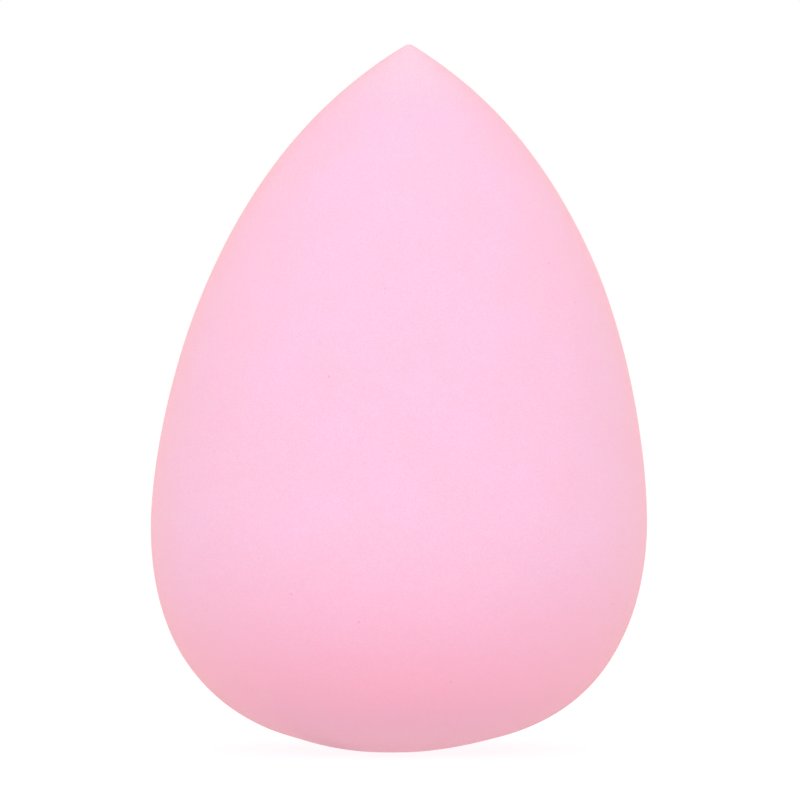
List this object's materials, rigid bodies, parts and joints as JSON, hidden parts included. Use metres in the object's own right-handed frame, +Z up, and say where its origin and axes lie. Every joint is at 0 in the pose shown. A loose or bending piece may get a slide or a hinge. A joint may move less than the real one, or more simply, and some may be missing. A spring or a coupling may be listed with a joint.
{
  "type": "makeup sponge",
  "caption": "Soft teardrop foam sponge, round at the bottom and pointed at the top, for dabbing and blending makeup on the skin",
  "frame": {"origin": "middle of the small flat on the bottom, on which the sponge stands", "axes": "+Z up to the point, +X the way the point leans a little, -Y towards whoever takes the picture"},
  "size_m": [0.042, 0.042, 0.06],
  "materials": {
    "sponge_foam": "matte"
  },
  "bodies": {
    "root": {"sponge_body": "sponge_foam"}
  },
  "joints": []
}
